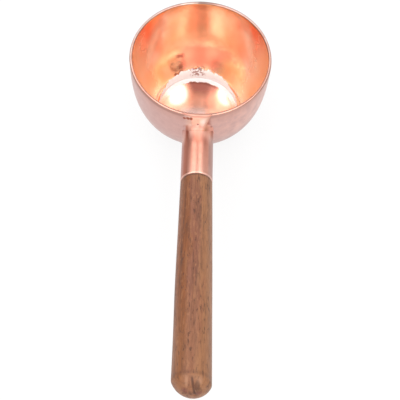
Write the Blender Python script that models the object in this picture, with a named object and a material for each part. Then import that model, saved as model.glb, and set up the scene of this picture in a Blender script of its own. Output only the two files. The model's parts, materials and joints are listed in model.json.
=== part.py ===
"""A copper coffee scoop with a turned wooden handle.

A spun bowl with a stepped heel, a ferrule tube cut to the round of the bowl, the braze fillet that
joins the two and climbs to the bowl's lip, and a handle whose tenon is bonded into the ferrule.

Metres, +Z up. The origin is the centre of the bowl's flat base. The handle points along -Y and rises.
"""

import math

import bmesh
import bpy

MM = 0.001

# Bowl, a spun copper sheet measured on its outer face
RIM_RADIUS = 23.1 * MM
BOWL_HEIGHT = 31.7 * MM
SHEET = 1.0 * MM
WALL_DRAFT = math.radians(1.7)
LIP_PULL = 11.0 * MM  # how far the side keeps the direction it has at the lip
FOOT_PULL = 9.9 * MM  # how far it keeps the direction it has at the heel
FOOT_SLOPE = math.radians(48.6)  # the side's slope where it meets the heel
HEEL_HEIGHT = 4.0 * MM
HEEL_TOP_RADIUS = 16.1 * MM
BASE_RADIUS = 14.9 * MM
INSIDE_FILLET = 0.4 * MM  # between the heel and the base, inside the bowl

# Ferrule, a copper tube brazed to the bowl's side
FERRULE_RADIUS = 5.0 * MM
TUBE_WALL = 0.8 * MM
FERRULE_LENGTH = 19.9 * MM  # along its axis, from the bowl's side
FERRULE_EDGE = 0.25 * MM  # rounding of the end that takes the handle
JOINT_DROP = 11.15 * MM  # from the lip down to where the ferrule's axis meets the side
HANDLE_RISE = math.radians(8.0)

# Braze fillet round the ferrule, with a tongue that climbs to the lip
FILLET_WIDTH = 0.7 * MM  # out along the bowl's side
FILLET_LENGTH = 1.0 * MM  # out along the tube
FILLET_EDGE = 0.3 * MM  # thickness where the fillet ends
TONGUE_LENGTH = 1.3 * MM  # out along the tube, on its top
TONGUE_THICKNESS = 0.45 * MM  # below the lip
TONGUE_HALF_WIDTH = 4.4 * MM
TONGUE_BELOW_LIP = 0.5 * MM
TONGUE_SQUARENESS = 4  # how abruptly the tongue's sides fall away

# Handle, turned from one piece of wood
WOOD_LENGTH = 72.2 * MM  # from the ferrule to the tip
SHOULDER_RADIUS = 5.0 * MM
SHOULDER_ROUND = 0.5 * MM
GRIP_RADIUS = 5.72 * MM  # at the rim of the domed end
GRIP_BELLY = 0.05 * MM  # how far the middle swells past a straight taper
DOME_HEIGHT = 3.7 * MM
DOME_EDGE = 1.1 * MM  # length over which the dome's rim is eased
TENON_LENGTH = 15.0 * MM
TENON_CHAMFER = 0.5 * MM

# Bond, the sleeve of adhesive between the tenon and the bore
BOND_THICKNESS = 0.3 * MM
BOND_SETBACK = 1.0 * MM  # from the mouth of the ferrule, and from the tenon's end

# Clearances between pieces
SEAT_GAP = 0.3 * MM  # between brazed pieces, and at the handle's shoulder
BOND_GAP = 0.15 * MM  # on each side of the bond

# Facets
BOWL_SEGMENTS = 48
HANDLE_SEGMENTS = 32
FILLET_SEGMENTS = 40
FILLET_STEPS = 5

COPPER_COLOUR = (0.80, 0.42, 0.32, 1.0)
BRAZE_COLOUR = (0.87, 0.56, 0.44, 1.0)
WOOD_COLOUR = (0.36, 0.18, 0.10, 1.0)
ADHESIVE_COLOUR = (0.55, 0.42, 0.22, 1.0)


def clear_scene():
    for old in list(bpy.data.objects):
        bpy.data.objects.remove(old, do_unlink=True)


def material(name, colour, roughness, metallic):
    made = bpy.data.materials.new(name)
    made.use_nodes = True
    shader = made.node_tree.nodes["Principled BSDF"]
    shader.inputs["Base Color"].default_value = colour
    shader.inputs["Roughness"].default_value = roughness
    shader.inputs["Metallic"].default_value = metallic
    return made


def object_from(name, bm, finish):
    """A closed mesh object, shaded smooth but for its sharp edges."""
    bmesh.ops.recalc_face_normals(bm, faces=bm.faces)
    mesh = bpy.data.meshes.new(name)
    bm.to_mesh(mesh)
    bm.free()
    mesh.shade_smooth()
    mesh.set_sharp_from_angle(angle=math.radians(35))
    made = bpy.data.objects.new(name, mesh)
    if finish:
        mesh.materials.append(finish)
    bpy.context.scene.collection.objects.link(made)
    return made


def turned(name, profile, segments, finish=None, ring=False):
    """A solid turned about Z from (radius, height) points; a ring's profile closes on itself."""
    bm = bmesh.new()
    points = [bm.verts.new((radius, 0, height)) for radius, height in profile]
    chain = [bm.edges.new(pair) for pair in zip(points, points[1:])]
    if ring:
        chain.append(bm.edges.new((points[-1], points[0])))
    bmesh.ops.spin(
        bm, geom=points + chain, axis=(0, 0, 1), cent=(0, 0, 0),
        angle=math.tau, steps=segments, use_merge=True,
    )
    bmesh.ops.remove_doubles(bm, verts=bm.verts, dist=0.001 * MM)
    return object_from(name, bm, finish)


def cutter(made):
    """Marks an object as a tool that only cuts."""
    made.hide_render = True
    made.display_type = "WIRE"
    return made


def cut(made, tool):
    change = made.modifiers.new("cut", "BOOLEAN")
    change.operation = "DIFFERENCE"
    change.solver = "EXACT"
    change.object = tool


def along(start, length, angle):
    """The point at a length from start, in the direction of an angle above the horizontal."""
    return (start[0] + length * math.cos(angle), start[1] + length * math.sin(angle))


def bezier(start, first, second, end, count):
    """Points of a cubic curve after its start."""
    found = []
    for step in range(1, count + 1):
        t = step / count
        shares = ((1 - t) ** 3, 3 * t * (1 - t) ** 2, 3 * t * t * (1 - t), t ** 3)
        found.append(tuple(
            sum(share * point[i] for share, point in zip(shares, (start, first, second, end)))
            for i in range(2)
        ))
    return found


def arc(centre, radius, first, last, count):
    """Points of an arc after its first angle."""
    return [
        along(centre, radius, first + (last - first) * step / count) for step in range(1, count + 1)
    ]


def bowl_side():
    """The outer face of the bowl, from below the lip down to the edge of the flat base."""
    lip = (RIM_RADIUS, BOWL_HEIGHT - SHEET / 2)
    heel = (HEEL_TOP_RADIUS, HEEL_HEIGHT)
    base_fillet = INSIDE_FILLET + SHEET
    heel_foot = (BASE_RADIUS, base_fillet)
    ease = (HEEL_HEIGHT - base_fillet) * 0.4
    side = [lip]
    side += bezier(
        lip, along(lip, LIP_PULL, -math.pi / 2 - WALL_DRAFT), along(heel, FOOT_PULL, FOOT_SLOPE), heel, 11)
    side += bezier(
        heel, along(heel, -ease, FOOT_SLOPE), along(heel_foot, ease, math.pi / 2), heel_foot, 4)
    side += arc((BASE_RADIUS - base_fillet, base_fillet), base_fillet, 0, -math.pi / 2, 3)
    return side


def offset(side, distance):
    """The side moved square to itself, towards the bowl's inside where distance is positive."""
    moved = []
    for i, (radius, height) in enumerate(side):
        before = side[max(i - 1, 0)]
        after = side[min(i + 1, len(side) - 1)]
        run, drop = after[0] - before[0], after[1] - before[1]
        if i == len(side) - 1:
            run, drop = -1, 0
        length = math.hypot(run, drop)
        moved.append((radius + distance * drop / length, height - distance * run / length))
    return moved


def side_radius(height):
    """The bowl's outer radius at a height, between the points of its side."""
    side = bowl_side()
    for above, below in zip(side, side[1:]):
        if below[1] <= height <= above[1]:
            share = (height - below[1]) / (above[1] - below[1])
            return below[0] + share * (above[0] - below[0])
    return RIM_RADIUS


def make_bowl(finish):
    outside = bowl_side()
    inside = offset(outside, SHEET)
    lip_centre = ((outside[0][0] + inside[0][0]) / 2, (outside[0][1] + inside[0][1]) / 2)
    lip = arc(lip_centre, SHEET / 2, 0, math.pi, 5)[:-1]
    profile = [(0, 0)] + outside[::-1] + lip + inside + [(0, SHEET)]
    return turned("bowl", profile, BOWL_SEGMENTS, finish)


def make_bowl_cutter():
    """The bowl filled solid and grown by the seat gap, for what is cut to the bowl's round."""
    grown = offset(bowl_side(), -SEAT_GAP)
    top = BOWL_HEIGHT + FERRULE_RADIUS
    profile = [(0, top), (grown[0][0], top)] + grown + [(0, -SEAT_GAP)]
    return cutter(turned("bowl_cutter", profile, BOWL_SEGMENTS))


def make_joint():
    """An empty where the ferrule's axis meets the bowl's side; its Z runs out along the handle."""
    height = BOWL_HEIGHT - JOINT_DROP
    joint = bpy.data.objects.new("handle_axis", None)
    joint.location = (0, -side_radius(height), height)
    joint.rotation_euler = (math.pi / 2 - HANDLE_RISE, 0, 0)
    bpy.context.scene.collection.objects.link(joint)
    return joint


def make_ferrule(finish):
    bore = FERRULE_RADIUS - TUBE_WALL
    inner_end = -FERRULE_RADIUS
    edge_centre = (FERRULE_RADIUS - FERRULE_EDGE, FERRULE_LENGTH - FERRULE_EDGE)
    profile = [(bore, inner_end), (FERRULE_RADIUS, inner_end), (FERRULE_RADIUS, edge_centre[1])]
    profile += arc(edge_centre, FERRULE_EDGE, 0, math.pi / 2, 3)
    profile += [(bore, FERRULE_LENGTH)]
    return turned("ferrule", profile, HANDLE_SEGMENTS, finish, ring=True)


def side_distance(across, up, joint):
    """How far out along the handle's axis the bowl's side lies, at a place across and up from it."""
    sine, cosine = math.sin(HANDLE_RISE), math.cos(HANDLE_RISE)
    distance = 0.0
    for _ in range(6):
        height = joint.location.z + distance * sine + up * cosine
        radius = side_radius(height)
        depth = math.sqrt(max(radius ** 2 - across ** 2, 0))
        distance = (depth + joint.location.y + up * sine) / cosine
    return distance


def make_braze_fillet(joint, finish):
    """A ring round the tube whose concave face runs out along the tube and along the bowl's side."""
    bore = FERRULE_RADIUS + SEAT_GAP
    edge = bore + FILLET_EDGE
    tongue_top = (JOINT_DROP - TONGUE_BELOW_LIP) / math.cos(HANDLE_RISE)
    tongue_turn = math.atan2(TONGUE_HALF_WIDTH, (FERRULE_RADIUS + tongue_top) / 2)
    bm = bmesh.new()
    sections = []
    for j in range(FILLET_SEGMENTS):
        turn = math.tau * j / FILLET_SEGMENTS
        from_top = min(turn, math.tau - turn)
        tongue = math.exp(-((from_top / tongue_turn) ** TONGUE_SQUARENESS))
        width = FILLET_WIDTH + (tongue_top - edge - FILLET_WIDTH) * tongue
        length = FILLET_LENGTH + (TONGUE_LENGTH - FILLET_LENGTH) * tongue
        thin = FILLET_EDGE + (TONGUE_THICKNESS - FILLET_EDGE) * tongue
        face = []
        for step in range(FILLET_STEPS + 1):
            u = step / FILLET_STEPS
            radius = edge + width * (1 - u) ** 2
            seat = side_distance(radius * math.sin(turn), radius * math.cos(turn), joint) + SEAT_GAP
            face.append((radius, seat + thin + (length - thin) * u ** 2))
        buried = face[0][1] - FERRULE_RADIUS / 2
        section = [(bore, buried), (face[0][0], buried)] + face + [(bore, face[-1][1])]
        sections.append([
            bm.verts.new((radius * math.sin(turn), radius * math.cos(turn), distance))
            for radius, distance in section
        ])
    for section, neighbour in zip(sections, sections[1:] + sections[:1]):
        for i in range(len(section)):
            bm.faces.new((section[i - 1], section[i], neighbour[i], neighbour[i - 1]))
    return object_from("braze_fillet", bm, finish)


def tenon_radius():
    return FERRULE_RADIUS - TUBE_WALL - BOND_THICKNESS - 2 * BOND_GAP


def make_tenon_bond(finish):
    inner = tenon_radius() + BOND_GAP
    outer = inner + BOND_THICKNESS
    start = FERRULE_LENGTH - TENON_LENGTH + BOND_SETBACK
    end = FERRULE_LENGTH - BOND_SETBACK
    profile = [(inner, start), (outer, start), (outer, end), (inner, end)]
    return turned("tenon_bond", profile, HANDLE_SEGMENTS, finish, ring=True)


def make_handle(finish):
    tenon = tenon_radius()
    tenon_end = FERRULE_LENGTH - TENON_LENGTH
    shoulder = FERRULE_LENGTH + SEAT_GAP
    tip = FERRULE_LENGTH + WOOD_LENGTH
    dome_rim = tip - DOME_HEIGHT
    grip_start = shoulder + SHOULDER_ROUND
    grip_end = dome_rim - DOME_EDGE / 2
    profile = [(0, tenon_end), (tenon - TENON_CHAMFER, tenon_end), (tenon, tenon_end + TENON_CHAMFER)]
    profile += [(tenon, shoulder), (SHOULDER_RADIUS - SHOULDER_ROUND, shoulder)]
    profile += arc((SHOULDER_RADIUS - SHOULDER_ROUND, grip_start), SHOULDER_ROUND, -math.pi / 2, 0, 3)
    grip_steps = 6
    for step in range(1, grip_steps + 1):
        t = step / grip_steps
        taper = SHOULDER_RADIUS + (GRIP_RADIUS - SHOULDER_RADIUS) * t
        profile.append((taper + GRIP_BELLY * 4 * t * (1 - t), grip_start + (grip_end - grip_start) * t))
    dome_radius = (GRIP_RADIUS ** 2 + DOME_HEIGHT ** 2) / (2 * DOME_HEIGHT)
    dome_centre = (0, tip - dome_radius)
    rim_angle = math.atan2(dome_rim - dome_centre[1], GRIP_RADIUS)
    eased_angle = rim_angle + DOME_EDGE / 2 / dome_radius
    eased = along(dome_centre, dome_radius, eased_angle)
    corner = (GRIP_RADIUS, dome_rim)
    profile += bezier(profile[-1], corner, corner, eased, 3)
    profile += arc(dome_centre, dome_radius, eased_angle, math.pi / 2, 5)[:-1]
    profile += [(0, tip)]
    return turned("handle", profile, HANDLE_SEGMENTS, finish)


def main():
    clear_scene()
    copper = material("polished_copper", COPPER_COLOUR, 0.25, 1.0)
    braze = material("braze_metal", BRAZE_COLOUR, 0.35, 1.0)
    wood = material("lacquered_wood", WOOD_COLOUR, 0.45, 0.0)
    adhesive = material("hardened_adhesive", ADHESIVE_COLOUR, 0.5, 0.0)

    make_bowl(copper)
    bowl_cutter = make_bowl_cutter()
    joint = make_joint()
    ferrule = make_ferrule(copper)
    fillet = make_braze_fillet(joint, braze)
    for brazed in (ferrule, fillet):
        cut(brazed, bowl_cutter)
    for carried in (ferrule, fillet, make_tenon_bond(adhesive), make_handle(wood)):
        carried.parent = joint


main()
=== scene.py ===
"""Dresses a copper coffee scoop: fine meshes and procedural finishes for bowl, ferrule, braze and handle.

Metres, +Z up. The origin is the centre of the bowl's flat base. The handle points along -Y and rises.
"""

import json
import math

import bpy
from bpy.props import FloatProperty, FloatVectorProperty, PointerProperty
from mathutils import Matrix, Vector, noise

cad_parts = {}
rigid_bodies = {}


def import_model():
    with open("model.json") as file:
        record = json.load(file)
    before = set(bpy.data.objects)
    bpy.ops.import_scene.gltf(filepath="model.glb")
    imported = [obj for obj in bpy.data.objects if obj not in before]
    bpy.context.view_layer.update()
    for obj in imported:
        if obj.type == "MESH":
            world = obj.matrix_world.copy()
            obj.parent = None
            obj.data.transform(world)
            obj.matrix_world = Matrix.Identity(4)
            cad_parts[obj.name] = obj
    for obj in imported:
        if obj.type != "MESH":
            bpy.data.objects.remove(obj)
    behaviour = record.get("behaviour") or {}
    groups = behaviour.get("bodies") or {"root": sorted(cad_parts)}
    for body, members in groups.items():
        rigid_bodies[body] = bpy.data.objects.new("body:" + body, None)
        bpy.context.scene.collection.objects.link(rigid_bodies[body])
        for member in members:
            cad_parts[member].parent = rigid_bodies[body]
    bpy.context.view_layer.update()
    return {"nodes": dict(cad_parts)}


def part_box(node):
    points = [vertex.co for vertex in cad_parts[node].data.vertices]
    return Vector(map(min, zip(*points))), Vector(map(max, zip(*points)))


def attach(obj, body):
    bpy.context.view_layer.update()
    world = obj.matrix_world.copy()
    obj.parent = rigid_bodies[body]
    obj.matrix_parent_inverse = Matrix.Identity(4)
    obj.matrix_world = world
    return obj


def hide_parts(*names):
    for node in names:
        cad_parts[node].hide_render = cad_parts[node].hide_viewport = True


for startup_object in list(bpy.data.objects):
    bpy.data.objects.remove(startup_object, do_unlink=True)
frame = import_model()

bl_info = {
    "name": "Copper Coffee Scoop",
    "version": (1, 0, 0),
    "blender": (4, 5, 0),
    "location": "View3D > Sidebar > Scoop",
    "description": "Builds a copper coffee scoop with a wooden handle around its packed frame",
    "category": "Object",
}

MM = 0.001
BOWL_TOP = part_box("bowl")[1]
FERRULE_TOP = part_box("ferrule")[1]
HANDLE_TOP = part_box("handle")[1]

# Facets: segments go round a piece, steps along its profile
BOWL_SEGMENTS = 224
SIDE_STEPS = 56
HEEL_STEPS = 14
FILLET_STEPS = 8
LIP_STEPS = 10
TUBE_SEGMENTS = 128
TUBE_STEPS = 12
TUBE_EDGE_STEPS = 6
BRAZE_SEGMENTS = 320
BRAZE_STEPS = 44
GRIP_SEGMENTS = 160
GRIP_STEPS = 150
SHOULDER_STEPS = 8
DOME_EDGE_STEPS = 8
DOME_STEPS = 40
# Rings across the bowl's underside and its dished base, as shares of their radius
UNDERSIDE_RINGS = (0.35, 0.7, 0.9)
DISH_RINGS = (0.94, 0.86, 0.76, 0.64, 0.5, 0.34, 0.17)

# Unevenness of the bowl's sheet: depth, and scale of the noise
OUTSIDE_DENTS = (0.05 * MM, 140)
LIP_DENTS = (0.06 * MM, 90)
INSIDE_DENTS = (0.07 * MM, 120)

# How deep the braze sinks into its neighbours, and how far its mesh runs on past its edges
BRAZE_EMBED = 0.06 * MM
BRAZE_MARGIN = 1.7 * MM
# Where the tongue fades: across its right and left edges, from its start above the handle's axis, and
# about its top
RIGHT_FADE = 0.4 * MM
LEFT_FADE = 1.6 * MM
TONGUE_STARTS = (2.5 * MM, 4.5 * MM)
TOP_FADE = (0.2 * MM, -0.8 * MM)
# Cosines of the turn from the tube's top, where the throat starts to grow and where it is full
THROAT_GROWS = (0.2, 0.95)
# Keeps a division by a sine from failing straight above the tube
LEAST_SINE = 1e-6

# Marks in the braze and in the handle's end, in millimetres: across and up from the handle's axis, half
# width and half height
PINHOLE = (-0.2, 6.4, 0.34, 0.34)
BURRS = ((-4.5, 8.9, 0.55, 0.6), (-3.4, 9.3, 0.65, 0.8), (-2.4, 9.5, 0.55, 0.9))
BEAD = (1.4, 8.0, 1.2, 2.3)
CORNER_FLUX = (4.3, 4.6, 0.5, 0.6)
TUBE_FLUX = (2.5, 4.7, 1.5, 0.6)
PALE_GRAIN = ((-1.3, 4.2, 0.6, 1.3), (2.2, 4.3, 1.0, 1.0))
RED_GRAIN = ((-1.7, 1.8, 1.0, 1.0), (2.2, 1.4, 1.1, 0.8))
PITH = (1.6, 3.5, 0.9, 1.4)
# Rise of the lumps in the braze and depth of its pinhole, in millimetres, and how close the lumps lie
LUMP_RISE = 0.07
BEAD_RISE = 0.25
BURR_RISE = 0.16
PINHOLE_DEPTH = 0.45
LUMP_SCALE = 0.8
# Ends of the drying check in the handle's end, in millimetres across and up from the handle's axis
CHECK_START = (0.17, 5.2)
CHECK_END = (1.17, 0.7)
CHECK_WIDTH = 0.4 * MM

# Work by hand on the wood: the left side's narrowing and where it runs, the end's easing and loss, and
# the depth of sanding as a share of the radius, with the scale of its waves round and along the handle
LEFT_NARROWING = 0.045
NARROWED_FROM = 55 * MM
NARROWED_TO = 80 * MM
END_EASE = 4 * MM
END_LOSS = 0.06 * MM
SANDING = 0.012
SANDING_ROUND = 1.3
SANDING_ALONG = 0.325
# Share of the heel's height over which it keeps its direction at each end
HEEL_EASE = 0.4
# Rounds of closing in on the bowl's side
CLOSING_ROUNDS = 6


# Settings that a user would change

def length(name, description, default):
    return FloatProperty(name=name, description=description, default=default, unit="LENGTH", precision=5)


def angle(name, description, degrees):
    return FloatProperty(
        name=name, description=description, default=math.radians(degrees), subtype="ANGLE")


def number(name, description, default):
    return FloatProperty(name=name, description=description, default=default)


def linear(level):
    """A display level from 0 to 255 as a linear one."""
    share = level / 255
    return share / 12.92 if share <= 0.04045 else ((share + 0.055) / 1.055) ** 2.4


def colour(name, description, red, green, blue):
    return FloatVectorProperty(
        name=name, description=description, subtype="COLOR", size=4, min=0, max=1,
        default=(linear(red), linear(green), linear(blue), 1),
    )


class ScoopSizes(bpy.types.PropertyGroup):
    """Sizes of the scoop's visible pieces."""

    rim_radius: length("Rim radius", "Outside radius of the bowl's lip", BOWL_TOP.x)
    bowl_height: length("Bowl height", "From the base to the lip", BOWL_TOP.z)
    sheet: length("Sheet", "Thickness of the spun copper", 1.0 * MM)
    wall_draft: angle("Wall draft", "Lean of the side below the lip", 1.7)
    lip_pull: length("Lip pull", "How far the side keeps its direction at the lip", 11.0 * MM)
    foot_pull: length("Foot pull", "How far the side keeps its direction at the heel", 9.9 * MM)
    foot_slope: angle("Foot slope", "Slope of the side at the heel", 48.6)
    heel_height: length("Heel height", "From the base to the top of the heel", 4.0 * MM)
    heel_top_radius: length("Heel top radius", "Outside radius at the top of the heel", 16.1 * MM)
    base_radius: length("Base radius", "Outside radius of the heel's foot", 14.9 * MM)
    inside_fillet: length("Inside fillet", "Between heel and base, inside", 0.4 * MM)
    base_dish: length("Base dish", "How far the base's inside sinks in the middle", 0.25 * MM)
    joint_drop: length("Joint drop", "From the lip to the ferrule's axis at the side", 11.15 * MM)
    handle_rise: angle("Handle rise", "Climb of the handle", 8.0)
    ferrule_radius: length("Ferrule radius", "Outside radius of the tube", FERRULE_TOP.x)
    tube_wall: length("Tube wall", "Thickness of the tube", 0.8 * MM)
    ferrule_length: length("Ferrule length", "From the bowl's side to the wood", 19.9 * MM)
    ferrule_edge: length("Ferrule edge", "Rounding of the tube's end", 0.45 * MM)
    fillet_throat: length("Fillet throat", "Radius of the braze beside and below the tube", 0.35 * MM)
    tongue_throat: length("Tongue throat", "Radius of the braze on top of the tube", 2.2 * MM)
    tongue_thickness: length("Tongue thickness", "Thickness of the braze below the lip", 0.3 * MM)
    tongue_right: length("Tongue right", "Width of the braze to the right, at the tube's top", 2.3 * MM)
    tongue_left: length("Tongue left", "Width of the braze left of the middle", 3.4 * MM)
    tongue_widening: number("Tongue widening", "How far its right edge moves out per length climbed", 0.2)
    tongue_below_lip: length("Tongue below lip", "From the lip to the top of the braze", 0.05 * MM)
    wood_length: length("Wood length", "From the ferrule to the handle's tip", 72.2 * MM)
    shoulder_round: length("Shoulder round", "Rounding where the wood meets the tube", 0.45 * MM)
    shoulder_gap: length("Shoulder gap", "Between the tube's end and the wood", 0.12 * MM)
    grip_radius: length("Grip radius", "At the rim of the domed end", HANDLE_TOP.x)
    grip_belly: length("Grip belly", "Swelling of the middle past a straight taper", 0.05 * MM)
    dome_height: length("Dome height", "Height of the domed end", 3.7 * MM)
    dome_edge: length("Dome edge", "Length over which the dome's rim is eased", 1.1 * MM)
    dome_skew: number("Dome skew", "Slant of the sanded end, longer on the right", 0.1)
    check_depth: length("Check depth", "Depth of the drying check in the end", 0.35 * MM)


class ScoopColours(bpy.types.PropertyGroup):
    """Colours of the scoop's finishes."""

    # Painted light: the outside's copper is lighter on the right and darker on the left.
    outside_left: colour("Outside left", "Copper outside the bowl, on its left", 212, 170, 163)
    outside_right: colour("Outside right", "Copper outside the bowl, on its right", 231, 181, 167)
    outside_haze: colour("Outside haze", "Hazed copper outside the bowl", 205, 163, 156)
    # Painted shade: darker copper near the foot.
    outside_foot_shade: colour("Outside low", "Copper near the foot", 190, 150, 143)
    outside_warm: colour("Outside warm", "Warmer copper below the lip", 205, 148, 130)
    inside_bright: colour("Inside bright", "Polished copper inside the bowl", 255, 229, 203)
    inside_dull: colour("Inside dull", "Warmer copper inside the bowl", 254, 218, 189)
    # The deep, shade, rose, brown, amber and flush tones below are painted shade inside the bowl, and the
    # gold tone is a painted highlight.
    inside_deep: colour("Inside deep", "Deep orange copper inside the bowl", 228, 140, 100)
    inside_shade: colour("Inside shade", "Darker copper just below the lip", 200, 180, 146)
    inside_rose: colour("Inside rose", "Rosy copper low on the back wall", 252, 206, 190)
    inside_brown: colour("Inside brown", "Browned copper low on the right", 240, 146, 130)
    inside_amber: colour("Inside amber", "Amber copper toward the sides", 253, 172, 128)
    inside_flush: colour("Inside flush", "Flushed copper above the solder", 250, 152, 134)
    inside_matte: colour("Inside matte", "Brushed copper at the sides", 255, 184, 134)
    # Painted highlight: golden streaks where the lamps reflect inside the bowl.
    heat_gold: colour("Heat gold", "Golden heat tint inside the bowl", 255, 255, 232)
    # Brown tarnish, also laid as painted shade in the braze's pinhole and on the edge of the base's painted
    # reflection.
    stain: colour("Stain", "Brown tarnish", 136, 74, 66)
    solder: colour("Solder", "Silvery solder round the base", 244, 250, 255)
    # Painted shadow: grey line in the crease where the solder meets the base.
    crease_shadow: colour("Crease", "Grey line where the solder meets the base", 186, 160, 156)
    base_copper: colour("Base copper", "Copper of the base", 246, 190, 172)
    # Pale, bright patches and front of the base.
    base_bright: colour("Base bright", "Brightly worn copper of the base", 253, 246, 252)
    base_rose: colour("Base rose", "Rosy copper right of the base's middle and at its sides", 215, 152, 138)
    # Painted dark reflection of the far wall, at the back of the base.
    base_dark_reflection: colour("Base smoke", "Smoky film at the back of the base", 180, 122, 114)
    lip_back: colour("Lip back", "Bare edge of the lip at the back", 206, 184, 177)
    lip_front: colour("Lip front", "Bare edge of the lip at the front", 232, 176, 156)
    # Rubbed, dull copper of the lip, also laid as painted shade over the joint.
    lip_dull_and_shade: colour("Lip dull", "Rubbed edge of the lip", 196, 148, 134)
    # Painted dark reflection on a stretch of the lip, and painted shadow in the line below it.
    lip_shade: colour("Lip dark", "Stained stretch of the lip, and the line below it", 160, 112, 100)
    tube_bright: colour("Tube bright", "Clean copper of the ferrule", 238, 171, 149)
    # Hazed copper of the ferrule, also laid as painted shade over the braze's top.
    tube_dull_and_shade: colour("Tube dull", "Hazed copper of the ferrule", 226, 155, 134)
    # Filler metal smeared over the tube near the bowl, also a painted highlight there and on the rolled
    # end.
    tube_filler_and_highlight: colour("Tube joint", "Filler metal smeared over the tube's top", 250, 205, 188)
    # Painted shade on the tube's left, underside and right.
    tube_left_shade: colour("Tube left", "Dull copper on the tube's left", 178, 111, 91)
    tube_under_shade: colour("Tube under", "Hazed copper below the tube's middle", 188, 133, 121)
    tube_right_shade: colour("Tube right", "Dull copper on the tube's right", 180, 138, 128)
    # Flux beside the joint, also laid as painted shade in the crease by the braze's right edge.
    tube_flux_and_shade: colour("Tube flux", "Orange-brown flux beside the joint", 214, 150, 122)
    braze_bright: colour("Braze bright", "Dressed filler metal", 255, 226, 208)
    braze_dull: colour("Braze dull", "Filler metal in the hollows", 250, 212, 192)
    # Painted highlight on the braze's raised bead and as the lip's glint.
    braze_highlight: colour("Braze pale", "Thick bead of filler metal, and the lip's glint", 255, 246, 236)
    wood_mid: colour("Wood", "Main tone of the wood", 134, 81, 56)
    wood_amber: colour("Wood amber", "Amber band along the left", 131, 75, 39)
    # Also laid as a painted shadow by the ferrule and painted shade at the dome's rim.
    wood_dark: colour("Wood dark", "Dark streaks and pores", 76, 42, 26)
    wood_light: colour("Wood light", "Pale bands", 153, 103, 68)
    wood_red: colour("Wood red", "Reddish patches of the end grain", 112, 56, 46)
    wood_pale: colour("Wood pale", "Pale patches of the end grain", 176, 128, 98)
    flux_red: colour("Flux red", "Red-brown burrs of the braze", 172, 86, 56)
    adhesive: colour("Adhesive", "Hardened adhesive inside the ferrule", 190, 170, 120)


# Curves

def along(start, distance, direction):
    """The point at a distance from start, in the direction of an angle above the horizontal."""
    return (start[0] + distance * math.cos(direction), start[1] + distance * math.sin(direction))


def bezier(start, first, second, end, count):
    """Points of a cubic curve after its start."""
    found = []
    for step in range(1, count + 1):
        t = step / count
        shares = ((1 - t) ** 3, 3 * t * (1 - t) ** 2, 3 * t * t * (1 - t), t ** 3)
        found.append(tuple(
            sum(share * point[i] for share, point in zip(shares, (start, first, second, end)))
            for i in range(2)
        ))
    return found


def arc(centre, radius, first, last, count):
    """Points of an arc after its first angle."""
    return [
        along(centre, radius, first + (last - first) * step / count) for step in range(1, count + 1)
    ]


def bell(distance, width):
    """1 at no distance, falling smoothly to 0 past the width."""
    return math.exp(-((distance / width) ** 2))


def bowl_side(sizes):
    """The outer face of the bowl, from below the lip down to the edge of the flat base."""
    lip = (sizes.rim_radius, sizes.bowl_height - sizes.sheet / 2)
    heel = (sizes.heel_top_radius, sizes.heel_height)
    fillet = sizes.inside_fillet + sizes.sheet
    heel_foot = (sizes.base_radius, fillet)
    ease = (sizes.heel_height - fillet) * HEEL_EASE
    below_lip = along(lip, sizes.lip_pull, -math.pi / 2 - sizes.wall_draft)
    above_heel = along(heel, sizes.foot_pull, sizes.foot_slope)
    side = [lip]
    below_heel = along(heel, -ease, sizes.foot_slope)
    above_foot = along(heel_foot, ease, math.pi / 2)
    side += bezier(lip, below_lip, above_heel, heel, SIDE_STEPS)
    side += bezier(heel, below_heel, above_foot, heel_foot, HEEL_STEPS)
    side += arc((sizes.base_radius - fillet, fillet), fillet, 0, -math.pi / 2, FILLET_STEPS)
    return side


def offset(side, distance):
    """The side moved square to itself, towards the bowl's inside."""
    moved = []
    for i, (radius, height) in enumerate(side):
        before = side[max(i - 1, 0)]
        after = side[min(i + 1, len(side) - 1)]
        run, drop = after[0] - before[0], after[1] - before[1]
        if i == len(side) - 1:
            run, drop = -1, 0
        size = math.hypot(run, drop)
        moved.append((radius + distance * drop / size, height - distance * run / size))
    return moved


def side_radius(side, height):
    """The bowl's outer radius at a height, between the points of its side."""
    for above, below in zip(side, side[1:]):
        if below[1] <= height <= above[1]:
            share = (height - below[1]) / (above[1] - below[1])
            return below[0] + share * (above[0] - below[0])
    return side[0][0]


def handle_matrix(sizes):
    """The frame whose Z runs out along the handle, from where its axis meets the bowl's side."""
    height = sizes.bowl_height - sizes.joint_drop
    joint = Matrix.Translation((0, -side_radius(bowl_side(sizes), height), height))
    return joint @ Matrix.Rotation(math.pi / 2 - sizes.handle_rise, 4, "X")


# Meshes

def skin(name, rings, finishes, bands=None, ring_closed=False):
    """A mesh over rings of points; a ring of one point is a pole. bands gives each gap its finish."""
    points, faces, slots, starts = [], [], [], []
    for ring in rings:
        starts.append(len(points))
        points += ring
    gaps = list(zip(range(len(rings)), range(1, len(rings))))
    if ring_closed:
        gaps.append((len(rings) - 1, 0))
    for first, second in gaps:
        a, b = rings[first], rings[second]
        count = max(len(a), len(b))
        for i in range(count):
            j = (i + 1) % count
            corners = [starts[first] + i % len(a), starts[first] + j % len(a)]
            corners += [starts[second] + j % len(b), starts[second] + i % len(b)]
            faces.append(list(dict.fromkeys(corners)))
            slots.append(bands[first] if bands else 0)
    mesh = bpy.data.meshes.new(name)
    mesh.from_pydata(points, [], faces)
    for finish in finishes:
        mesh.materials.append(finish)
    mesh.polygons.foreach_set("material_index", slots)
    mesh.shade_smooth()
    mesh.validate()
    made = bpy.data.objects.new(name, mesh)
    bpy.context.scene.collection.objects.link(made)
    return made


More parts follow.
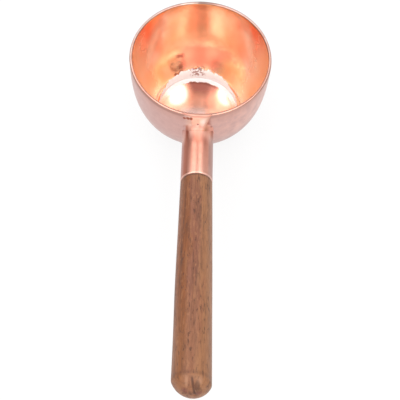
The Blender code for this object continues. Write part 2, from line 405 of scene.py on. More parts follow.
def turned_ring(radius, height, segments, change=None):
    """A circle of points about Z; change gives how much further out each point lies, by its turn."""
    ring = []
    for i in range(segments):
        turn = math.tau * i / segments
        reach = radius + (change(turn) if change else 0)
        ring.append((reach * math.cos(turn), reach * math.sin(turn), height))
    return ring


def place(piece, node):
    """Fits a piece to the frame: it hangs from the root body and stands for a node, which it hides."""
    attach(piece, "root")
    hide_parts(node)


# Shader building

class Graph:
    """A node tree with short ways to add and join its nodes."""

    def __init__(self, tree):
        self.tree = tree

    def add(self, kind, inputs=None, **settings):
        made = self.tree.nodes.new(kind)
        for name, value in settings.items():
            setattr(made, name, value)
        for socket, value in (inputs or {}).items():
            self.feed(made.inputs[socket], value)
        return made

    def feed(self, socket, value):
        if isinstance(value, bpy.types.NodeSocket):
            self.tree.links.new(value, socket)
        else:
            socket.default_value = value

    def group(self, build, inputs):
        """A node of the group that build makes on its first use."""
        tree = bpy.data.node_groups.get(build.__name__) or build(build.__name__)
        return self.add("ShaderNodeGroup", inputs, node_tree=tree)

    def maths(self, operation, first, second=0.0):
        return self.add("ShaderNodeMath", {0: first, 1: second}, operation=operation).outputs[0]

    def plus(self, first, second, share=None):
        """The first value and the second, or a share of the second."""
        return self.maths("ADD", first, second if share is None else self.times(second, share))

    def less(self, first, second):
        return self.maths("SUBTRACT", first, second)

    def times(self, first, *others):
        for other in others:
            first = self.maths("MULTIPLY", first, other)
        return first

    def most(self, first, *others):
        for other in others:
            first = self.maths("MAXIMUM", first, other)
        return first

    def away(self, value, centre=0.0):
        """How far a value lies from a centre, either way."""
        return self.maths("ABSOLUTE", self.less(value, centre))

    def between(self, share, low, high):
        """From low to high, by a share."""
        made = self.add("ShaderNodeMapRange", {"Value": share, "To Min": low, "To Max": high})
        return made.outputs["Result"]

    def step(self, value, low, high):
        """0 at low, 1 at high and smooth between; low may lie above high."""
        made = self.add(
            "ShaderNodeMapRange", {"Value": value, "From Min": low, "From Max": high},
            interpolation_type="SMOOTHSTEP")
        return made.outputs["Result"]

    def ramp(self, value, low, high):
        """A step between two lengths in millimetres."""
        return self.step(value, low * MM, high * MM)

    def turn_ramp(self, value, low, high):
        """A step between two angles in degrees."""
        return self.step(value, math.radians(low), math.radians(high))

    def within(self, parts, *ramps):
        """1 where every ramp is: each names an axis, then a low and a high in millimetres."""
        return self.times(*(self.ramp(parts[axis], low, high) for axis, low, high in ramps))

    def mix(self, share, first, second, blend="MIX"):
        made = self.add(
            "ShaderNodeMix", {0: share, 6: first, 7: second}, data_type="RGBA", blend_type=blend)
        return made.outputs[2]

    def layers(self, tone, *layers):
        """The tone with others laid over it in turn, each by the product of the shares that follow it."""
        for laid, *shares in layers:
            tone = self.mix(self.times(*shares), tone, laid)
        return tone

    def vector(self, operation, first, second=(0, 0, 0)):
        made = self.add("ShaderNodeVectorMath", {0: first, 1: second}, operation=operation)
        return made.outputs["Value" if operation in ("LENGTH", "DOT_PRODUCT") else "Vector"]

    def parts(self, vector):
        return self.add("ShaderNodeSeparateXYZ", {0: vector}).outputs

    def turn(self, parts):
        """The angle about Z from the back, growing to the right."""
        return self.maths("ARCTAN2", parts["X"], parts["Y"])

    def from_axis(self, position):
        """The distance from the Z axis."""
        return self.vector("LENGTH", self.vector("MULTIPLY", position, (1, 1, 0)))

    def noise(self, position, scale, detail, roughness, distortion=0.0):
        """Cloudy values from 0 to 1; the scale is one number or, as a tuple, one for each axis."""
        if isinstance(scale, tuple):
            position, scale = self.vector("MULTIPLY", position, scale), 1.0
        made = self.add("ShaderNodeTexNoise", {
            "Vector": position, "Scale": scale, "Detail": detail,
            "Roughness": roughness, "Distortion": distortion})
        return made.outputs[0]

    def position(self, axes=None):
        """The place on the piece, in its own frame or in the axes given."""
        found = self.add("ShaderNodeTexCoord").outputs["Object"]
        if axes is None:
            return found
        made = self.add("ShaderNodeMapping", {
            "Vector": found, "Location": axes.to_translation(), "Rotation": axes.to_euler()},
            vector_type="TEXTURE")
        return made.outputs[0]


def new_group(name, inputs, outputs):
    """An empty node group with named sockets: its graph, and the sockets of its input and output nodes."""
    tree = bpy.data.node_groups.new(name, "ShaderNodeTree")
    for in_out, sockets in (("INPUT", inputs), ("OUTPUT", outputs)):
        for socket, kind in sockets.items():
            tree.interface.new_socket(name=socket, in_out=in_out, socket_type="NodeSocket" + kind)
    graph = Graph(tree)
    return graph, graph.add("NodeGroupInput").outputs, graph.add("NodeGroupOutput").inputs


SPECK_SHADE = (0.35, 0.28, 0.26, 1)


def metal_skin(name):
    """Copper's hazed patches, fine lines and specks: a colour, a haze mask and a height."""
    graph, given, out = new_group(name, {
        "Position": "Vector", "Bright": "Color", "Dull": "Color", "Patch Scale": "Float",
        "Patch Blur": "Float", "Line Stretch": "Vector", "Line Share": "Float", "Speck Share": "Float",
    }, {"Colour": "Color", "Haze": "Float", "Height": "Float"})
    patches = graph.noise(given["Position"], given["Patch Scale"], 5, 0.6)
    edge = graph.less(0.5, graph.times(given["Patch Blur"], 0.5))
    lines = graph.noise(graph.vector("MULTIPLY", given["Position"], given["Line Stretch"]), 1, 3, 0.7)
    line_haze = graph.times(graph.less(lines, 0.5), given["Line Share"])
    haze = graph.plus(graph.step(patches, edge, graph.less(1, edge)), line_haze)
    specks = graph.step(graph.noise(given["Position"], 1900, 2, 0.5), 0.66, 0.74)
    toned = graph.mix(haze, given["Bright"], given["Dull"])
    dark = graph.mix(1, toned, SPECK_SHADE, "MULTIPLY")
    graph.feed(out["Colour"], graph.layers(toned, (dark, specks, given["Speck Share"])))
    graph.feed(out["Haze"], haze)
    graph.feed(out["Height"], graph.plus(graph.times(lines, 0.4), patches, 0.6))
    return graph.tree


def wall_patch(name):
    """A soft patch on the bowl, between two angles from the back and two heights."""
    sockets = ("Angle", "Height", "Middle", "Half Width", "Low", "High", "Angle Blur", "Height Blur")
    graph, given, out = new_group(name, dict.fromkeys(sockets, "Float"), {"Mask": "Float"})
    half, low, high = given["Half Width"], given["Low"], given["High"]
    around, up = given["Angle Blur"], given["Height Blur"]
    across = graph.step(
        graph.away(given["Angle"], given["Middle"]), graph.plus(half, around), graph.less(half, around))
    above = graph.step(given["Height"], graph.less(low, up), graph.plus(low, up))
    below = graph.step(given["Height"], graph.plus(high, up), graph.less(high, up))
    graph.feed(out["Mask"], graph.times(across, above, below))
    return graph.tree


def new_material(name):
    """A material, its graph and its shader."""
    made = bpy.data.materials.new(name)
    made.use_nodes = True
    return made, Graph(made.node_tree), made.node_tree.nodes["Principled BSDF"]


def bump(graph, shader, height, depth):
    """Gives the surface a relief: a height, times a depth in metres."""
    made = graph.add("ShaderNodeBump", {"Height": height, "Distance": depth})
    graph.feed(shader.inputs["Normal"], made.outputs[0])


def copper(name, bright, dull, axes=None, *, patches, blur, stretch, lines, specks, roughness, depth):
    """A copper finish; returns its material, graph, shader, position and skin node.

    patches scales the hazed patches and blur softens them. stretch scales the fine lines on each axis.
    lines and specks are shares, roughness runs from clean to hazed, and depth is the relief's.
    """
    made, graph, shader = new_material(name)
    position = graph.position(axes)
    skin_node = graph.group(metal_skin, {
        "Position": position, "Bright": bright, "Dull": dull, "Patch Scale": patches, "Patch Blur": blur,
        "Line Stretch": stretch, "Line Share": lines, "Speck Share": specks})
    graph.feed(shader.inputs["Roughness"], graph.between(skin_node.outputs["Haze"], *roughness))
    shader.inputs["Metallic"].default_value = 1.0
    bump(graph, shader, skin_node.outputs["Height"], depth)
    return made, graph, shader, position, skin_node


# Finishes

def outside_copper(colours):
    """Softly hazed copper, with painted light brighter on the right, painted shade at the foot and a
    painted shadow line below the lip.
    """
    made, graph, shader, position, skin_node = copper(
        "bowl_outside_copper", colours.outside_left, colours.outside_haze, patches=420, blur=0.6,
        stretch=(420, 420, 60), lines=0.5, specks=0.15, roughness=(0.28, 0.36), depth=0.012 * MM)
    parts = graph.parts(position)
    # Painted light: the copper grows lighter toward the right.
    to_right = graph.ramp(parts["X"], -20, 20)
    graph.feed(
        skin_node.inputs["Bright"], graph.mix(to_right, colours.outside_left, colours.outside_right))
    tone = skin_node.outputs["Colour"]
    # Painted shade toward the foot, a warmer band below the lip, and a painted shadow line right under the
    # lip.
    for laid, low, high, left_share, right_share in (
            (colours.outside_foot_shade, 20, 8, 0.45, 0.95),
            (colours.outside_warm, 26, 30, 0.35, 0.35),
            (colours.lip_shade, 29.6, 30.6, 0.65, 0.2)):
        share = graph.plus(left_share, to_right, right_share - left_share)
        tone = graph.layers(tone, (laid, graph.ramp(parts["Z"], low, high), share))
    graph.feed(shader.inputs["Base Color"], tone)
    return made


# The direction in which the lip is rubbed
RUBBED_SIDE = (0.87, -0.5, 0)
# Painted light on stretches of the lip, a dark reflection, a glint and shade over the joint: colour, middle
# in degrees from the back, degrees from there where the colour starts and where it is full, share
LIP_STRETCHES = (
    ("lip_shade", 5, 9, 6, 0.26),
    ("braze_highlight", -11, 9, 6, 0.28),
    ("lip_dull_and_shade", 0, 166, 171, 0.9),
)


def lip_copper(colours):
    """Bare edge: pale at the back with a painted dark reflection and glint, warmer in front, rubbed on the
    right.
    """
    made, graph, shader, position, skin_node = copper(
        "bowl_lip_copper", colours.lip_back, colours.lip_dull_and_shade, patches=160, blur=0.5,
        stretch=(900, 900, 900), lines=0.4, specks=0.1, roughness=(0.12, 0.22), depth=0.01 * MM)
    parts = graph.parts(position)
    to_front = graph.ramp(parts["Y"], 12, -16)
    graph.feed(skin_node.inputs["Bright"], graph.mix(to_front, colours.lip_back, colours.lip_front))
    rubbed = graph.ramp(graph.vector("DOT_PRODUCT", position, RUBBED_SIDE), 19, 22.5)
    tone = graph.layers(skin_node.outputs["Colour"], (colours.lip_dull_and_shade, rubbed, 0.5))
    turn = graph.turn(parts)
    for name, middle, start, full, share in LIP_STRETCHES:
        shown = graph.turn_ramp(graph.away(turn, math.radians(middle)), start, full)
        tone = graph.layers(tone, (getattr(colours, name), shown, share))
    graph.feed(shader.inputs["Base Color"], tone)
    return made


# Painted light inside the bowl: shade and the lamps' golden reflections, with two patches of solder. Each
# tone gives colour, middle and half width in degrees from the back, low and high in millimetres, blur in
# degrees, blur in millimetres, share
INSIDE_TONES = (
    ("inside_shade", 0, 200, 29, 33, 5, 2, 0.65),
    ("inside_amber", -56, 18, 9, 24, 6, 3, 0.7),
    ("inside_amber", 52, 13, 11, 24, 6, 3, 0.5),
    ("inside_amber", -61, 17, 5, 12, 8, 1.5, 0.75),
    ("inside_deep", -45, 13, 23, 33, 7, 3, 0.9),
    ("inside_deep", 47, 11, 24, 33, 7, 3, 0.75),
    ("heat_gold", -26, 11, 16, 28, 6, 4, 1.0),
    ("heat_gold", 14, 8, 16, 28, 5, 4, 0.55),
    ("inside_deep", -2, 9, 18, 33, 5, 3, 0.48),
    ("inside_rose", 0, 60, 9.5, 15, 15, 2.5, 0.4),
    ("inside_rose", -3, 12, 5.5, 13.5, 6, 1.5, 0.5),
    ("inside_flush", 2, 25, 4.6, 12.6, 8, 2, 0.95),
    ("inside_brown", 29, 11, 8.5, 12, 6, 1.2, 0.75),
    ("inside_deep", -30, 9, 9.5, 12.5, 5, 1.2, 0.5),
    ("inside_deep", -75, 16, 27, 33, 6, 2, 0.7),
    ("inside_deep", 75, 16, 27, 33, 6, 2, 0.4),
    ("solder", -40, 11, 3.5, 7.5, 6, 1, 0.4),
    ("solder", 52, 14, 3.5, 6.3, 6, 1, 0.35),
)
# More patches, in the same order without a colour and a share
# A painted golden highlight running down the right of the back wall.
GOLD_HIGHLIGHT_RUN = (46, 9, 4.5, 11, 8, 2)
STAIN_PATCH = (-28, 9, 4.8, 9.4, 4, 1.0)
STAIN_BLOTCHES = ((-22.5, 5, 8.2, 9.8, 3, 0.6), (-24, 3.5, 4.8, 6.6, 2.5, 0.8))
SEAM_SPECKS = (-2, 9, 1.8, 5.2, 4, 0.6)
# Places on the base, in millimetres across and back
PALE_BASE_PATCHES = ((-7.3, 6.6), (10.8, 6.8))


def inside_copper(colours):
    """Polished inside: painted reflections and shade, brushed sides, a brown stain, silvery solder and pale
    base patches.
    """
    made, graph, shader, position, skin_node = copper(
        "bowl_inside_copper", colours.inside_bright, colours.inside_dull, patches=170, blur=0.45,
        stretch=(300, 300, 45), lines=0.5, specks=0.1, roughness=(0.16, 0.27), depth=0.02 * MM)
    parts = graph.parts(position)
    turn = graph.turn(parts)
    off_middle = graph.away(turn)
    ragged = graph.less(graph.noise(position, 420, 4, 0.65), 0.5)
    coarse = graph.less(graph.noise(position, 130, 3, 0.6), 0.5)
    wavy = (graph.plus(turn, coarse, 0.35), graph.plus(parts["Z"], coarse, 6 * MM))
    smudged = (graph.plus(turn, ragged, 0.15), graph.plus(parts["Z"], ragged, 2 * MM))

    def patch(middle, half, low, high, turn_blur, height_blur, place_on_wall=wavy):
        return graph.group(wall_patch, {
            "Angle": place_on_wall[0], "Height": place_on_wall[1], "Middle": math.radians(middle),
            "Half Width": math.radians(half), "Low": low * MM, "High": high * MM,
            "Angle Blur": math.radians(turn_blur), "Height Blur": height_blur * MM}).outputs["Mask"]

    brushed = graph.times(
        graph.turn_ramp(off_middle, 50, 85), graph.turn_ramp(off_middle, 135, 110),
        graph.ramp(parts["Z"], 3, 9))
    mottled = graph.plus(0.3, graph.step(ragged, -0.12, 0.12), 0.35)
    stain = graph.times(mottled, patch(*STAIN_PATCH, smudged))
    for blotch in STAIN_BLOTCHES:
        stain = graph.most(stain, graph.times(patch(*blotch, smudged), 0.85))

    floor = graph.ramp(parts["Z"], 1.15, 1.02)
    radius = graph.plus(graph.from_axis(position), ragged, 1.5 * MM)
    at_sides = graph.times(graph.ramp(radius, 9.5, 12.5), graph.turn_ramp(off_middle, 45, 65))
    # Painted dark reflection on the base.
    dark_reflection = graph.times(floor, dark_reflection_place(graph, parts))
    off_ring = graph.away(turn, math.radians(6))
    ring = graph.times(floor, graph.ramp(radius, 11.8, 12.3), graph.turn_ramp(off_ring, 80, 50))

    seam_height = graph.plus(graph.plus(parts["Z"], ragged, 3 * MM), graph.times(turn, turn), 1.5 * MM)
    seam = graph.times(graph.ramp(seam_height, 4.6, 4.2), graph.less(1, floor))
    solder = graph.most(seam, ring)
    # Painted shadow line in the inside corner just above the base.
    crease_shadow = graph.ramp(graph.away(parts["Z"], 1.2 * MM), 0.2, 0.06)
    fine = graph.less(graph.noise(position, 1300, 1, 0.5), 0.5)
    specks = graph.times(patch(*SEAM_SPECKS), graph.step(fine, -0.05, 0.11))
    seam_line = graph.times(
        graph.ramp(graph.away(seam_height, 4.65 * MM), 0.45, 0.1),
        graph.turn_ramp(graph.away(turn, math.radians(-29)), 9, 5))

    tone = graph.layers(
        skin_node.outputs["Colour"],
        *((getattr(colours, name), patch(*limits), share) for name, *limits, share in INSIDE_TONES),
        (colours.inside_matte, brushed),
        (colours.heat_gold, patch(*GOLD_HIGHLIGHT_RUN), graph.step(ragged, -0.02, 0.1), 0.8),
        (colours.stain, stain),
        *base_tones(graph, colours, position, floor),
        (colours.base_rose, at_sides, floor, 0.9),
        (colours.base_dark_reflection, dark_reflection),
        # A darker edge to the painted reflection, in the stain colour.
        (colours.stain, graph.ramp(radius, 10.8, 11.5), dark_reflection, 0.6),
        (colours.solder, solder),
        (colours.crease_shadow, crease_shadow, 0.35),
        (colours.stain, graph.most(specks, seam_line), 0.8))
    graph.feed(shader.inputs["Base Color"], tone)
    filmed = graph.most(solder, graph.times(dark_reflection, 0.3), graph.times(brushed, 0.65))
    graph.feed(shader.inputs["Metallic"], graph.less(1, filmed))
    polished = shader.inputs["Roughness"].links[0].from_socket
    graph.feed(shader.inputs["Roughness"], graph.plus(polished, brushed, 0.2))
    return made


def dark_reflection_place(graph, parts):
    """Where the painted dark reflection lies on the base: a band that widens to the back, a little right of
    the middle.
    """
    widening = graph.times(graph.less(parts["Y"], 8 * MM), 0.4)
    from_band = graph.less(graph.away(parts["X"], 2 * MM), widening)
    return graph.times(graph.ramp(from_band, 5.5, 3), graph.ramp(parts["Y"], 4, 9.5))


def base_tones(graph, colours, position, floor):
    """Layers of the base's copper: two pale patches, a rosy band and a bright front."""
    parts = graph.parts(position)
    layers = [(colours.base_copper, floor)]
    for across, back in PALE_BASE_PATCHES:
        moved = graph.vector("SUBTRACT", position, (across * MM, back * MM, 0))
        near = graph.vector("LENGTH", graph.vector("MULTIPLY", moved, (1, 0.8, 0)))
        layers.append((colours.base_bright, graph.ramp(near, 4.7, 2.4), floor))
    rosy = graph.within(parts, ("X", 1, 3), ("X", 7.5, 5), ("Y", -0.5, 2))
    front = graph.within(parts, ("Y", 2.5, -1), ("Y", -6, -3.5))
    off_front = graph.away(parts["X"], -1.5 * MM)
    layers.append((colours.base_rose, rosy, floor, 0.9))
    layers.append((colours.base_bright, front, graph.ramp(off_front, 5.5, 3), floor, 0.4))
    return layers


# Ramps on the tube, each an axis of the handle's frame with a low and a high in millimetres
ON_TOP = (("X", -3.5, -2.3), ("X", 4.6, 3.6))
NEAR_BOWL = (("Z", 8, 2), *ON_TOP)
BY_BOWL = (("X", -3.4, -4.2), ("Z", 6, 1.5))
TUBE_RIM = (("Z", 19.3, 19.5),)
# Tones of the tube: painted shade on the left, filler and painted highlights near the bowl and at the rim,
# flux, and the bowl's darker left-side copper beside it. Each gives colour, share and ramps
TUBE_TONES = (
    ("tube_left_shade", 0.8, ("X", -2.2, -3.4), ("Y", 2.6, 3.2)),
    ("tube_filler_and_highlight", 0.75, *NEAR_BOWL),
    ("tube_filler_and_highlight", 0.6, ("Z", 8, 2), ("X", -3.7, -4.2)),
    ("tube_filler_and_highlight", 0.2, ("Z", 14, 18), *ON_TOP),
    ("tube_flux_and_shade", 0.6, ("X", 1.2, 2.4), ("Z", 4.5, 2)),
    ("outside_left", 0.45, *BY_BOWL),
    ("tube_filler_and_highlight", 0.5, *TUBE_RIM),
)


def tube_copper(colours, along_handle):
    """Drawn tube: clean on top, painted shade down its sides, paler toward both ends from filler and
    painted highlights.
    """
    made, graph, shader, position, skin_node = copper(
        "ferrule_copper", colours.tube_bright, colours.tube_dull_and_shade, along_handle, patches=190, blur=0.5,
        stretch=(1100, 1100, 40), lines=0.3, specks=0.04, roughness=(0.29, 0.37), depth=0.008 * MM)
    parts = graph.parts(position)
    # Painted shade down the tube's sides and underside.
    left = graph.mix(graph.ramp(parts["Y"], 3, 2), colours.tube_left_shade, colours.tube_under_shade)
    sides = graph.mix(graph.ramp(parts["X"], -2, 2), left, colours.tube_right_shade)
    tone = graph.layers(skin_node.outputs["Colour"], (sides, graph.ramp(parts["Y"], 4.1, 3.2)))
    for name, share, *ramps in TUBE_TONES:
        tone = graph.layers(tone, (getattr(colours, name), graph.within(parts, *ramps), share))
    graph.feed(shader.inputs["Base Color"], tone)
    filmed = graph.most(
        graph.within(parts, *NEAR_BOWL), graph.times(graph.within(parts, *TUBE_RIM), 0.5),
        graph.times(graph.within(parts, *BY_BOWL), 0.7))
    graph.feed(shader.inputs["Metallic"], graph.less(1, graph.times(filmed, 0.65)))
    return made


SPOT_EDGE = 1.2


def spot(graph, position, across, up, half_width, half_height, core=0.6):
    """A soft round mark, placed across and up from the handle's axis; its core is a share of its size."""
    moved = graph.vector("SUBTRACT", position, (across * MM, up * MM, 0))
    shrunk = graph.vector("MULTIPLY", moved, (1 / (half_width * MM), 1 / (half_height * MM), 0))
    return graph.step(graph.vector("LENGTH", shrunk), SPOT_EDGE, core)


def braze_metal(colours, sizes, along_handle):
    """Filler metal that thins out into the bowl's copper, with a painted highlight on its bead, flux, a few
    dark flaws and painted shade.
    """
    made, graph, shader, position, skin_node = copper(
        "braze_metal", colours.braze_bright, colours.braze_dull, along_handle, patches=420, blur=0.5,
        stretch=(700, 700, 700), lines=0.4, specks=0.15, roughness=(0.42, 0.55), depth=0.02 * MM)
    parts = graph.parts(position)
    climb = graph.less(parts["Y"], sizes.ferrule_radius)
    right = graph.plus(sizes.tongue_right, climb, sizes.tongue_widening)
    from_edge = graph.less(parts["X"], right)
    left = -sizes.tongue_left / MM
    upper = graph.ramp(parts["Y"], 3, 5)
    cover = graph.times(
        graph.ramp(from_edge, 0.4, -0.6), graph.ramp(parts["X"], left - 2, left + 2), upper)
    # The bowl's copper beside the tongue, with its painted light: darker left, lighter right.
    wall = graph.mix(graph.ramp(parts["X"], -3, 3), colours.outside_left, colours.outside_right)
    tube = sizes.ferrule_radius / MM
    on_tube = graph.ramp(graph.from_axis(position), tube + 1.9, tube + 0.5)
    bead = spot(graph, position, *BEAD, 0.1)
    tone = graph.layers(
        wall,
        (skin_node.outputs["Colour"], cover),
        # On the tube the braze takes the tube's tones, with its painted shade on the left.
        (colours.tube_dull_and_shade, on_tube, 0.8),
        (colours.tube_left_shade, on_tube, graph.ramp(parts["X"], -2.8, -3.6), 0.8),
        (colours.outside_left, on_tube, graph.ramp(parts["X"], -3.8, -4.2)),
        # Painted highlight on the bead.
        (colours.braze_highlight, bead, 0.9),
        # Painted shade in the crease along the tongue's right edge, in the flux colour.
        (colours.tube_flux_and_shade, graph.ramp(graph.away(from_edge), 1.2, 0.1), upper, 0.6),
        # Painted shade over the tongue's top, where it rolls over to the lip.
        (colours.tube_dull_and_shade, graph.ramp(parts["Y"], 10.2, 10.8), 0.75),
        # Painted shade in the pinhole, in the stain colour.
        (colours.stain, spot(graph, position, *PINHOLE), 0.9),
        (colours.stain, spot(graph, position, *CORNER_FLUX), 0.5),
        (colours.tube_flux_and_shade, spot(graph, position, *TUBE_FLUX), 0.5),
        *((colours.flux_red, spot(graph, position, *burr), 0.9) for burr in BURRS))
    graph.feed(shader.inputs["Base Color"], tone)
    graph.feed(shader.inputs["Metallic"], graph.less(1, graph.times(graph.plus(cover, bead), 0.3)))
    return made


def drying_check(graph, position):
    """The drying check in the handle's end, with the pith beside it."""
    start = Vector((*CHECK_START, 0)) * MM
    reach = Vector((*CHECK_END, 0)) * MM - start
    down = reach.normalized()
    far = reach.length / MM
    moved = graph.vector("SUBTRACT", position, start)
    travel = graph.vector("DOT_PRODUCT", moved, down)
    beside = graph.away(graph.vector("DOT_PRODUCT", moved, (-down.y, down.x, 0)))
    check = graph.times(
        graph.ramp(beside, 0.5, 0.1), graph.ramp(travel, -0.3, 0.3),
        graph.ramp(travel, far + 0.3, far - 0.3))
    return graph.most(check, graph.times(spot(graph, position, *PITH), 0.8))


def lacquered_wood(colours, along_handle):
    """Straight-grained hardwood under thin lacquer: drifting tones, dark streaks, short pores, painted
    shade by the ferrule and dome rim.
    """
    made, graph, shader = new_material("lacquered_wood")
    position = graph.position(along_handle)
    parts = graph.parts(position)
    drift = graph.less(graph.noise(position, (330, 330, 45), 4, 0.6), 0.5)
    across = graph.plus(parts["X"], drift, 9 * MM)
    streaks = graph.noise(position, (900, 900, 60), 4, 0.65, 0.3)
    fibres = graph.noise(position, (2600, 2600, 300), 3, 0.65)
    flecks = graph.noise(position, (1500, 1500, 480), 3, 0.6)
    end_grain = graph.noise(position, (420, 260, 120), 3, 0.6)
    fine = graph.step(fibres, 0.36, 0.66)
    pore = graph.step(flecks, 0.58, 0.68)
    on_end = graph.ramp(parts["Z"], 87.6, 88.6)
    patches = [(colours.wood_pale, mark) for mark in PALE_GRAIN]
    patches += [(colours.wood_red, mark) for mark in RED_GRAIN]
    tone = graph.layers(
        colours.wood_mid,
        (colours.wood_amber, graph.ramp(across, -0.4, -2.6)),
        (colours.wood_light, graph.ramp(across, 0.4, 2.6)),
        (colours.wood_dark, graph.step(streaks, 0.46, 0.72), 0.6),
        (colours.wood_light, graph.step(streaks, 0.46, 0.3), 0.5),
        (colours.wood_light, graph.ramp(parts["Z"], 55, 80), 0.35),
        (colours.wood_dark, fine, 0.25),
        (colours.wood_dark, pore, 0.7),
        (colours.wood_light, graph.step(flecks, 0.42, 0.32), 0.65),
        # Painted shadow line where the wood meets the ferrule.
        (colours.wood_dark, graph.ramp(parts["Z"], 20.9, 20.3), 0.6),
        (colours.wood_light, graph.step(end_grain, 0.58, 0.42), on_end, 0.35),
        (colours.wood_dark, graph.step(end_grain, 0.52, 0.64), on_end, 0.45),
        *((laid, spot(graph, position, *mark, 0.2), on_end, 0.6) for laid, mark in patches),
        # Painted shade round the dome's rim.
        (colours.wood_dark, graph.ramp(graph.away(parts["Z"], 87.6 * MM), 0.9, 0.1), 0.25),
        (colours.wood_dark, drying_check(graph, position), on_end, 0.8))
    graph.feed(shader.inputs["Base Color"], tone)
    graph.feed(shader.inputs["Roughness"], graph.between(fine, 0.42, 0.56))
    shader.inputs["Specular IOR Level"].default_value = 0.35
    shader.inputs["Coat Weight"].default_value = 0.15
    shader.inputs["Coat Roughness"].default_value = 0.3
    bump(graph, shader, graph.less(graph.times(fibres, 0.35), pore), 0.05 * MM)
    return made


def hardened_adhesive(colours):
    """Cloudy adhesive, between a dull yellow and the wood's pale tone."""
    made, graph, shader = new_material("hardened_adhesive")
    cloud = graph.noise(graph.position(), 350, 3, 0.6)
    graph.feed(shader.inputs["Base Color"], graph.mix(cloud, colours.adhesive, colours.wood_light))
    shader.inputs["Roughness"].default_value = 0.45
    bump(graph, shader, cloud, 0.05 * MM)
    return made


# Pieces

# The bowl's finishes, in the order of its material slots
OUTSIDE, INSIDE, LIP = range(3)


def dented(depth, scale, radius, height):
    """Shallow unevenness of a spun and planished sheet, always inwards."""
    def change(turn):
        sample = Vector((radius * math.cos(turn), radius * math.sin(turn), height)) * scale
        return -depth * (0.5 + 0.5 * noise.noise(sample))
    return change


class SCOOP_OT_bowl(bpy.types.Operator):
    """Make the spun copper bowl with its lip, stepped heel and dished base."""

    bl_idname = "scoop.bowl"
    bl_label = "Make bowl"

    def execute(self, context):
        sizes, colours = context.scene.scoop_sizes, context.scene.scoop_colours
        outside = bowl_side(sizes)
        inside = offset(outside, sizes.sheet)
        lip_centre = [(a + b) / 2 for a, b in zip(outside[0], inside[0])]
        lip = arc(lip_centre, sizes.sheet / 2, 0, math.pi, LIP_STEPS)[:-1]
        rings, bands = [[(0, 0, 0)]], [OUTSIDE]

        def lay(band, profile, dents=None):
            for radius, height in profile:
                change = dented(*dents, radius, height) if dents else None
                rings.append(turned_ring(radius, height, BOWL_SEGMENTS, change))
                bands.append(band)

        climb = outside[::-1]
        lay(OUTSIDE, [(climb[0][0] * share, 0) for share in UNDERSIDE_RINGS])
        lay(OUTSIDE, [point for point in climb if point[1] <= sizes.heel_height])
        lay(OUTSIDE, [point for point in climb if point[1] > sizes.heel_height], OUTSIDE_DENTS)
        lay(LIP, lip, LIP_DENTS)
        lay(INSIDE, inside, INSIDE_DENTS)
        edge = inside[-1][0]
        lay(INSIDE, [
            (edge * share, sizes.sheet - sizes.base_dish * (1 - share ** 2)) for share in DISH_RINGS])
        rings.append([(0, 0, sizes.sheet - sizes.base_dish)])
        bands.append(INSIDE)
        finishes = [outside_copper(colours), inside_copper(colours), lip_copper(colours)]
        bowl = skin("bowl_spun", rings, finishes, bands)
        place(bowl, "bowl")
        return {"FINISHED"}


def side_distance(sizes, side, across, up):
    """How far out along the handle's axis the bowl's side lies, at a place across and up from it."""
    sine, cosine = math.sin(sizes.handle_rise), math.cos(sizes.handle_rise)
    start = sizes.bowl_height - sizes.joint_drop
    depth = side_radius(side, start)
    distance = 0.0
    for _ in range(CLOSING_ROUNDS):
        radius = side_radius(side, start + distance * sine + up * cosine)
        distance = (math.sqrt(max(radius ** 2 - across ** 2, 0)) - depth + up * sine) / cosine
    return distance


def tube_ring(radius, distances):
    """A ring about the handle's axis that starts at its top, each point at its own distance out."""
    turns = [math.tau * i / len(distances) for i in range(len(distances))]
    return [
        (radius * math.sin(turn), radius * math.cos(turn), distance)
        for turn, distance in zip(turns, distances)
    ]


def seat_line(sizes):
    """Where the tube ends inside the thickness of the bowl's side, point by point round it."""
    side = bowl_side(sizes)
    flat_ring = tube_ring(sizes.ferrule_radius, [0] * TUBE_SEGMENTS)
    return [side_distance(sizes, side, across, up) - sizes.sheet / 2 for across, up, _ in flat_ring]


class SCOOP_OT_ferrule(bpy.types.Operator):
    """Make the copper tube, cut to the round of the bowl."""

    bl_idname = "scoop.ferrule"
    bl_label = "Make ferrule"

    def execute(self, context):
        sizes, colours = context.scene.scoop_sizes, context.scene.scoop_colours
        radius, edge = sizes.ferrule_radius, sizes.ferrule_edge
        bore = radius - sizes.tube_wall
        straight_end = sizes.ferrule_length - edge
        seat = seat_line(sizes)
        rings = [tube_ring(bore, seat), tube_ring(radius, seat)]
        for step in range(1, TUBE_STEPS):
            share = step / TUBE_STEPS
            rings.append(tube_ring(radius, [start + (straight_end - start) * share for start in seat]))
        rim = [(radius, straight_end)]
        rim += arc((radius - edge, straight_end), edge, 0, math.pi / 2, TUBE_EDGE_STEPS)
        rim += [(bore + edge / 2, sizes.ferrule_length), (bore, sizes.ferrule_length - edge / 2)]
        rings += [tube_ring(reach, [distance] * TUBE_SEGMENTS) for reach, distance in rim]
        along_handle = handle_matrix(sizes)
        tube = skin("ferrule_tube", rings, [tube_copper(colours, along_handle)], ring_closed=True)
        tube.data.transform(along_handle)
        place(tube, "ferrule")
        return {"FINISHED"}


def smooth(value, low, high):
    """0 at low, 1 at high and smooth between; low may lie above high."""
    share = min(max((value - low) / (high - low), 0), 1)
    return share * share * (3 - 2 * share)


def mound(x, y, mark):
    """1 in the middle of a mark, falling smoothly to 0 round it."""
    return bell((x - mark[0]) / mark[2], 1) * bell((y - mark[1]) / mark[3], 1)


def braze_lumps(x, y):
    """How many millimetres the filler stands proud of an even layer, at a place in millimetres."""
    lumps = LUMP_RISE * noise.noise(Vector((x, y, 0)) * LUMP_SCALE)
    return lumps + BEAD_RISE * mound(x, y, BEAD) - PINHOLE_DEPTH * mound(x, y, PINHOLE)


